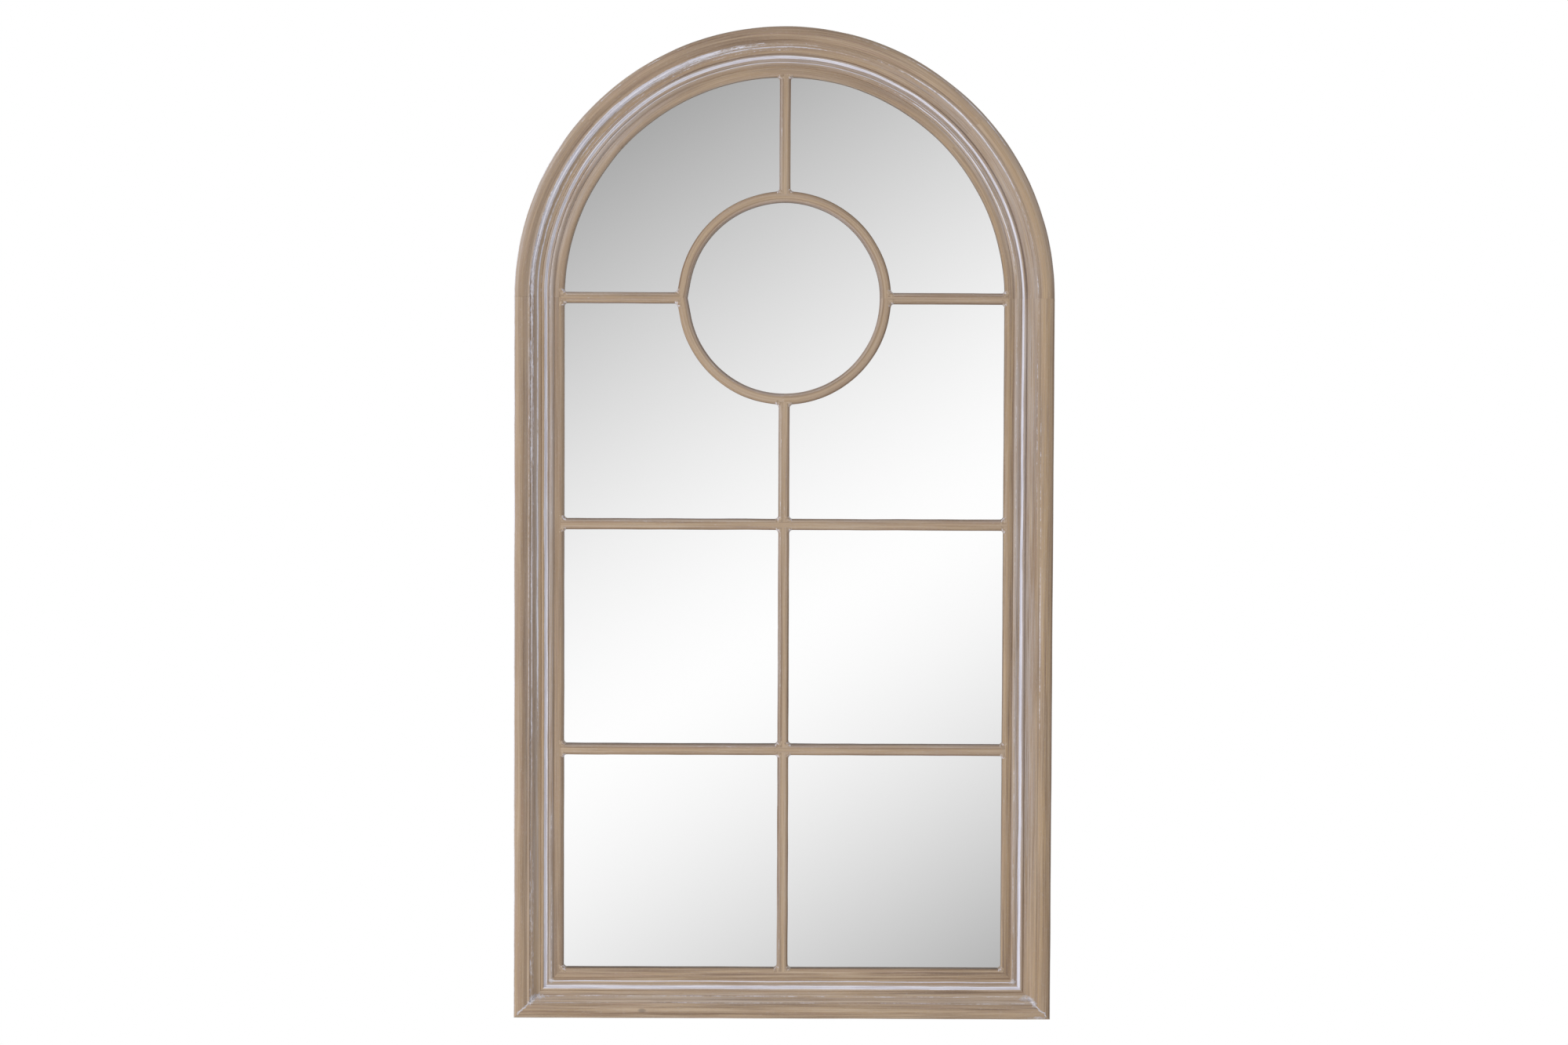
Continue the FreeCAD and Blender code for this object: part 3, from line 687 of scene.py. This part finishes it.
# The left end of each half of the ring was left straight over this angle, so the two meet at a slight point.
ring_end_angle = math.acos(ring_outer / -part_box("ring_upper_half")[0].x)


def along_ring(finish):
    rise = finish.z - spring / mm
    radius = finish.x.math("SQRT", finish.x * finish.x + rise * rise)
    straight = abs(rise) * math.sin(ring_end_angle) - finish.x * math.cos(ring_end_angle)
    ends = (abs(rise) + finish.x * math.tan(ring_end_angle)).above(-0.1, 0.1)
    outwards = straight + ends * (radius - straight) + (bar_half - ring_middle) / mm
    return outwards, finish.x.math("ARCTAN2", finish.x, rise) * ring_middle / mm, rise.above(0, 0.1)


bar_width = 2 * bar_half / mm
ring_finish = limed_timber("ring", along_ring, bar_lines, [(0, bar_coats)], 1.2, bar_width)
for name, to_z in (("ring_upper_half", 1), ("ring_lower_half", -1)):
    bm = bmesh.new()
    turn = Matrix.Rotation(ring_end_angle, 3, "Y")
    straight = turn @ Vector((0, 0, 40 * mm))
    start = arch_centre - straight
    section(bm, bar_profile, lambda across, out: start + turn @ Vector((across - ring_middle, -out, 0)))
    carried_round(bm, drawn_out(bm, straight / 4, 4), math.pi - ring_end_angle, 86)
    cut(bm, arch_centre, Vector((0, 0, -1)))
    for vert in bm.verts:
        vert.co.z = spring + (vert.co.z - spring) * to_z
    hand_sanded(bm, 0.3 * mm, 45 * mm)
    made(name, bm, ring_finish, "timber", name)

lip_end = 64.8 * mm  # from the frame's outer edge to where its flat lip ends
under_lip = half_width - lip_end
over_bar = bar_half - shoulder * mm  # where a bar's flat ends
ring_flat = ring_middle + over_bar
level = limed_timber("level_bars", along_level, bar_lines, [(0, bar_coats)], 1.4, bar_width)
upright = limed_timber("upright_bars", along_upright, bar_lines, [(0, bar_coats)], 1.4, bar_width)
for name, height in (("upper_cross_bar", upper), ("lower_cross_bar", lower)):
    straight_bar(name, Vector((-under_lip, 0, height)), Vector((under_lip, 0, height)), level)
straight_bar("left_spoke", Vector((-under_lip, 0, spring)), Vector((-ring_flat, 0, spring)), level)
straight_bar("right_spoke", Vector((ring_flat, 0, spring)), Vector((under_lip, 0, spring)), level)
straight_bar("top_spoke", Vector((0, 0, spring + ring_flat)), Vector((0, 0, spring + under_lip)), upright)
straight_bar("spine_upper", Vector((0, 0, upper + over_bar)), Vector((0, 0, spring - ring_flat)), upright)
straight_bar("spine_middle", Vector((0, 0, lower + over_bar)), Vector((0, 0, upper - over_bar)), upright)
straight_bar("spine_lower", Vector((0, 0, foot + lip_end)), Vector((0, 0, lower - over_bar)), upright)


# ---------------------------------------------------------------------------------------------
# Filler beads
# Where bars meet each other and the frame, a little filler was pressed into the corner with a
# fingertip, which leaves it hollow towards the pane and lumpy on top.
# ---------------------------------------------------------------------------------------------

bead_hollow = 5.0  # mm, radius of the fingertip's hollow
bead_profile = [
    (bead_hollow, 7.0, 0.0),
    (bead_hollow, 12.8, 0.0),
    (bead_hollow + shoulder, 16.95, 0.8),
    (12.6, 16.9, 0.1),
    (12.6, 7.0, 0.0),
]


def fingertip_bead(x, z, to_x, to_z, seed):
    """One bead. x and z are the corner of the pane, and to_x and to_z the way that the pane lies."""
    bead = bmesh.new()
    section(bead, bead_profile, lambda across, out: Vector((-across, -out, 0)), 0.4 * mm)
    bmesh.ops.spin(bead, geom=bead.faces[:], angle=-math.pi / 2, steps=10, axis=(0, 1, 0), cent=(0, 0, 0))
    for angle in (0.5, 1.1):
        wander = noise.noise_vector(Vector((seed, angle * 5, 0.5)))
        angle += wander.x * 0.25
        reach = (7.6 + wander.y * 0.6) * mm
        middle = Vector((-math.cos(angle) * reach, -15.2 * mm, -math.sin(angle) * reach))
        size = (1.8 + wander.z * 0.5) * mm
        bmesh.ops.create_icosphere(bead, subdivisions=2, radius=size, matrix=Matrix.Translation(middle))
    hollow = Vector((x + to_x * bead_hollow * mm, 0, z + to_z * bead_hollow * mm))
    place = Matrix.Translation(hollow) @ Matrix.Diagonal((to_x, 1, to_z, 1))
    bmesh.ops.transform(bead, matrix=place, verts=bead.verts[:])
    bmesh.ops.recalc_face_normals(bead, faces=bead.faces[:])
    mesh = bpy.data.meshes.new("bead")
    bead.to_mesh(mesh)
    bead.free()
    return mesh


def filler(name):
    """The wood's colour on top, the wash on the hollow's rounded edge, which is also a painted highlight,
    and painted shade down at the glass.
    """
    finish = Finish(name)
    out = finish.y * -1
    smear = finish.noise(finish.vector(finish.x / 3.5, finish.y / 3.5, finish.z / 3.5), 3.0, 0.6)
    stops = [(0.36, mid_brown), (0.50, warm_brown), (0.66, pale_tan)]
    colour = finish.node("ShaderNodeValToRGB", {"stops": stops}, {"Fac": smear})
    # Wash on the rounded edge over the hollow. It also serves as a painted highlight along that edge.
    wash_and_highlight = out.near(14.8, 1.6, 0.5) * smear.above(0.42, 0.58)
    colour = finish.mix(wash_and_highlight * 0.75, colour, lime_wash)
    # Painted shade: the bead goes dark low down, where it meets the glass.
    colour = finish.mix((1 - out.above(8.0, 12.0)) * 0.6, colour, (0.13, 0.10, 0.08))
    return finish.surface({"Base Color": colour, "Roughness": 0.42}, smear, 0.3 * mm)


filler_finish = filler("filler")
arch_reach = math.sqrt(sight**2 - bar_half**2)
ring_reach = math.sqrt(ring_outer**2 - bar_half**2)
ring_left = (ring_outer - bar_half * math.sin(ring_end_angle)) / math.cos(ring_end_angle)
sides = (-1, 1)
levels = (spring, upper, lower)
bead_groups = {
    "ring_corner_beads":
        [(a * bar_half, spring + b * ring_reach, a, b) for a in sides for b in sides]
        + [(-ring_left, spring + b * bar_half, -1, b) for b in sides]
        + [(ring_reach, spring + b * bar_half, 1, b) for b in sides],
    "crossing_corner_beads":
        [(a * bar_half, z + b * bar_half, a, b) for z in (upper, lower) for a in sides for b in sides],
    "frame_corner_beads":
        [(a * bar_half, spring + arch_reach, a, -1) for a in sides]
        + [(a * bar_half, sill, a, 1) for a in sides]
        + [(a * sight, sill, -a, 1) for a in sides]
        + [(a * sight, z + b * bar_half, -a, b) for z in levels for a in sides for b in sides],
}
for name, corners in bead_groups.items():
    bm = bmesh.new()
    for i, corner in enumerate(corners):
        bm.from_mesh(fingertip_bead(*corner, i + len(name)))
    piece = made(name, bm, filler_finish, "filler", name, sharp=60)
    remesh = piece.modifiers.new("fused", "REMESH")
    remesh.mode = "VOXEL"
    remesh.voxel_size = 0.5 * mm
    remesh.use_smooth_shade = True
    smooth = piece.modifiers.new("smoothed", "SMOOTH")
    smooth.factor = 0.5
    smooth.iterations = 3


# ---------------------------------------------------------------------------------------------
# Mirror
# One sheet of 4 mm silvered glass behind the whole lattice, loose in its rebate.
# ---------------------------------------------------------------------------------------------

finish = Finish("silvered_glass")
ripple = finish.noise(finish.vector(finish.x / 300, finish.y / 300, finish.z / 300), 1.0)
silver = {"Base Color": (0.99, 0.99, 0.99), "Metallic": 1.0, "Roughness": 0.015 + ripple * 0.01}
finish_node("mirror_glass", finish.surface(silver))


# ---------------------------------------------------------------------------------------------
# Backing board
# A sheet of 3 mm hardboard that keeps dust and knocks off the silvering. It lies flush in its
# rebate, smooth side out.
# ---------------------------------------------------------------------------------------------

finish = Finish("hardboard")
fibre = finish.noise(finish.vector(finish.x / 1.2, finish.y / 1.2, finish.z / 1.2), 5.0, 0.7)
cloud = finish.noise(finish.vector(finish.x / 90, finish.y / 90, finish.z / 90), 3.0)
stops = [(0.35, (0.165, 0.095, 0.052)), (0.50, (0.235, 0.140, 0.078)), (0.65, (0.310, 0.200, 0.120))]
colour = finish.node("ShaderNodeValToRGB", {"stops": stops}, {"Fac": fibre * 0.85 + cloud * 0.15})
finish_node("backing_board", finish.surface({"Base Color": colour, "Roughness": 0.55}, fibre, 0.08 * mm))


# ---------------------------------------------------------------------------------------------
# Board screws
# Fifteen countersunk cross-head screws hold the board to the ledge all round, flush with it.
# ---------------------------------------------------------------------------------------------


def cross_head_screw(stages):
    """A screw along -Z with a cross recess in its top. The stages are radii and depths, in mm."""
    bm = bmesh.new()
    bmesh.ops.create_grid(bm, x_segments=5, y_segments=5, size=1.9 * mm)
    arm = 0.5 * mm
    cross = [f for f in bm.faces if min(abs(f.calc_center_median().x), abs(f.calc_center_median().y)) < arm]
    recess = bmesh.ops.extrude_face_region(bm, geom=cross)["geom"]
    sunk = [part for part in recess if isinstance(part, bmesh.types.BMVert)]
    for vert in sunk:
        vert.co = vert.co * 0.72 - Vector((0, 0, 1.3 * mm))
    rim = [edge for edge in bm.edges if edge.is_boundary]
    for radius, depth in stages:
        drawn = bmesh.ops.extrude_edge_only(bm, edges=rim)["geom"]
        rim = [part for part in drawn if isinstance(part, bmesh.types.BMEdge)]
        for vert in {vert for edge in rim for vert in edge.verts}:
            out = Vector((vert.co.x, vert.co.y, 0)).normalized() * radius * mm
            vert.co = out - Vector((0, 0, depth * mm))
    bmesh.ops.holes_fill(bm, edges=rim, sides=0)
    bmesh.ops.recalc_face_normals(bm, faces=bm.faces[:])
    mesh = bpy.data.meshes.new("screw")
    bm.to_mesh(mesh)
    bm.free()
    return mesh


def screwed_in(name, screw, places, seat, finish):
    """A copy of a screw at every place, each turned its own way, as one piece."""
    bm = bmesh.new()
    for i, (x, z) in enumerate(places):
        place = Matrix.Translation((x, seat, z)) @ Matrix.Rotation(-math.pi / 2, 4, "X")
        before = len(bm.verts)
        bm.from_mesh(screw)
        bm.verts.ensure_lookup_table()
        bmesh.ops.transform(bm, matrix=place @ Matrix.Rotation(i * 0.9, 4, "Z"), verts=bm.verts[before:])
    made(name, bm, finish, "steel", name)


ledge = 52 * mm  # from the frame's outer edge to the middle of the board's ledge
corner_inset = 90 * mm  # from the lower corners to the nearest screws
below_spring = 30 * mm  # from the spring line down to the highest screws of the stiles
arch_screws, stile_screws = 4, 4
side = half_width - ledge
board_places = []
for i in range(1, arch_screws + 1):
    angle = math.pi * i / (arch_screws + 1)
    board_places.append((-side * math.cos(angle), spring + side * math.sin(angle)))
low = foot + corner_inset
for i in range(stile_screws):
    height = low + (spring - below_spring - low) * i / (stile_screws - 1)
    board_places += [(-side, height), (side, height)]
for i in (-1, 0, 1):
    board_places.append((i * (half_width - corner_inset), foot + ledge))
countersunk = cross_head_screw([(3.2, 0.0), (3.4, 0.05), (1.7, 1.7), (1.7, 10.0), (0.1, 13.0)])
screwed_in("board_screws", countersunk, board_places, 0, zinc_plate("board_screw_zinc", (0.72, 0.66, 0.50)))


# ---------------------------------------------------------------------------------------------
# Hangers
# On the back of each stile a zinc-plated strap, rolled into an eye for a wire D-ring, with two
# pan-head screws. The ring hangs down, and swings up over a hook in the wall.
# ---------------------------------------------------------------------------------------------

strap_finish = zinc_plate("strap_zinc", (0.70, 0.70, 0.72))
wire_finish = zinc_plate("wire_zinc", (0.78, 0.78, 0.80))
for side in ("left", "right"):
    finish_node(side + "_hanger_strap", strap_finish)
    finish_node(side + "_hanger_ring", wire_finish)
strap_low, strap_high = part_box("right_hanger_strap")
hanger_x = (strap_low.x + strap_high.x) / 2
strap_length = 47 * mm  # from the eye's axis down
screw_drops = (25 * mm, 39 * mm)  # below that axis
head_top = 3 * mm  # out from the back plane: the strap, and a head on it
eye = strap_low.z + strap_length
hanger_places = [(sign * hanger_x, eye - drop) for sign in (-1, 1) for drop in screw_drops]
stages = [(2.3, 0.0), (3.0, 0.35), (3.35, 1.0), (3.4, 2.0), (1.7, 2.0), (1.7, 15.0), (0.1, 18.0)]
hanger_zinc = zinc_plate("hanger_screw_zinc", (0.74, 0.73, 0.72))
screwed_in("hanger_screws", cross_head_screw(stages), hanger_places, head_top, hanger_zinc)


# ---------------------------------------------------------------------------------------------
# Wall bumpers
# Two soft rubber pads, stuck low on the back. They keep the foot of the frame off the wall and
# level with the hangers.
# ---------------------------------------------------------------------------------------------

finish = Finish("grey_rubber")
bloom = finish.noise(finish.vector(finish.x / 2, finish.y / 2, finish.z / 2), 4.0, 0.6)
stops = [(0.4, (0.030, 0.030, 0.032)), (0.65, (0.070, 0.070, 0.072))]
colour = finish.node("ShaderNodeValToRGB", {"stops": stops}, {"Fac": bloom})
finish_node("wall_bumpers", finish.surface({"Base Color": colour, "Roughness": 0.7}, bloom, 0.05 * mm))


# ---------------------------------------------------------------------------------------------
# Studio
# A plain pale floor, a white world, a large soft lamp to the left and a card that the mirror
# shows, which is grey at two corners.
# ---------------------------------------------------------------------------------------------

camera_place = Vector((0, -4.2, 0.147))
camera_target = Vector((0.0004, -0.02, 0.0035))
camera_roll = math.radians(0.22)
camera_data = bpy.data.cameras.new("camera")
camera_data.sensor_width = 36.0
camera_data.lens = 68.0
camera = bpy.data.objects.new("camera", camera_data)
bpy.context.scene.collection.objects.link(camera)
camera.location = camera_place
aim = (camera_target - camera_place).to_track_quat("-Z", "Y").to_matrix()
camera.rotation_euler = (aim @ Matrix.Rotation(camera_roll, 3, "Z")).to_euler()
bpy.context.scene.camera = camera


def lamp(name, place, size, power):
    data = bpy.data.lights.new(name, "AREA")
    data.shape = "RECTANGLE"
    data.size, data.size_y = size
    data.energy = power
    light = bpy.data.objects.new(name, data)
    bpy.context.scene.collection.objects.link(light)
    light.location = place
    light.rotation_euler = (-Vector(place)).to_track_quat("-Z", "Y").to_euler()
    light.visible_glossy = False


lamp("key", (-3.4, -2.6, -0.3), (1.6, 2.2), 82)
lamp("back_fill", (2.5, 3.5, 1.5), (2.0, 2.0), 70)

world = bpy.data.worlds.new("studio")
bpy.context.scene.world = world
world.use_nodes = True
tree = world.node_tree
tree.nodes.clear()
path = tree.nodes.new("ShaderNodeLightPath")
seen = tree.nodes.new("ShaderNodeMath")
seen.operation = "MAXIMUM"
tree.links.new(path.outputs["Is Camera Ray"], seen.inputs[0])
tree.links.new(path.outputs["Is Glossy Ray"], seen.inputs[1])
strength = tree.nodes.new("ShaderNodeMapRange")
strength.inputs["To Min"].default_value = 0.64
tree.links.new(seen.outputs[0], strength.inputs["Value"])
background = tree.nodes.new("ShaderNodeBackground")
background.inputs["Color"].default_value = (1, 1, 1, 1)
tree.links.new(strength.outputs[0], background.inputs["Strength"])
output = tree.nodes.new("ShaderNodeOutputWorld")
tree.links.new(background.outputs[0], output.inputs["Surface"])


def staged_plane(name, size, place, finish):
    bm = bmesh.new()
    bmesh.ops.create_grid(bm, x_segments=1, y_segments=1, size=size, matrix=place)
    mesh = bpy.data.meshes.new(name)
    bm.to_mesh(mesh)
    bm.free()
    mesh.materials.append(finish)
    plane = bpy.data.objects.new(name, mesh)
    bpy.context.scene.collection.objects.link(plane)
    return plane


def glowing(finish, colour):
    return finish.node("ShaderNodeEmission", {}, {"Color": colour, "Strength": 1.0})


finish = Finish("pale_floor")
seen = finish.node("ShaderNodeLightPath", {}, {}, "Is Camera Ray")
glossy = finish.node("ShaderNodeLightPath", {}, {}, "Is Glossy Ray")
matt = finish.node("ShaderNodeBsdfDiffuse", {}, {"Color": (0.85, 0.85, 0.85)})
white = glowing(finish, (1.0, 1.0, 1.0))
both = finish.node("ShaderNodeMixShader", {}, {0: seen.math("MAXIMUM", seen, glossy), 1: matt, 2: white})
finish.node("ShaderNodeOutputMaterial", {}, {"Surface": both})
staged_plane("floor", 12.0, Matrix.Translation((0, 0, -1.75)), finish.material)

# The card stands behind the camera. The mirror shows a point of it that lies this much further out.
card_distance = 5.0
slant_across, slant_down = 0.53, 0.85  # way in which the card's grey changes
photo_scale = 904.3  # pixels of the photograph to a metre of the mirror
whitest = 117.9  # pixels along the slant, from the mirror's middle to the whitest line
fall_before, fall_past = 0.00275, 0.00344  # of the grey, on either side of that line
fall_power = 1.6
white_level = 255
darkest = 0.5
display_gamma = 2.2
spread = (card_distance - camera_place.y) / -camera_place.y
finish = Finish("mirror_card")
shown_x = finish.x * mm / spread
shown_z = (finish.z * mm - camera_place.z * (1 - spread)) / spread
slant = shown_x * slant_across - shown_z * slant_down
away = slant * photo_scale - whitest
fall = fall_before + away.above(0, 1) * (fall_past - fall_before)
grey = 1 - away.math("POWER", abs(away), fall_power) * fall / white_level
lit = grey.math("MAXIMUM", grey, darkest)
glow = lit.math("POWER", lit, display_gamma)
glow = finish.vector(glow, glow, glow)
finish.node("ShaderNodeOutputMaterial", {}, {"Surface": glowing(finish, glow)})
card_place = Matrix.Translation((0, -card_distance, 0)) @ Matrix.Rotation(math.pi / 2, 4, "X")
card = staged_plane("mirror_card", 3.0, card_place, finish.material)
card.visible_camera = False
card.visible_diffuse = False
card.visible_transmission = False
card.visible_shadow = False

bpy.context.scene.view_settings.view_transform = "Standard"
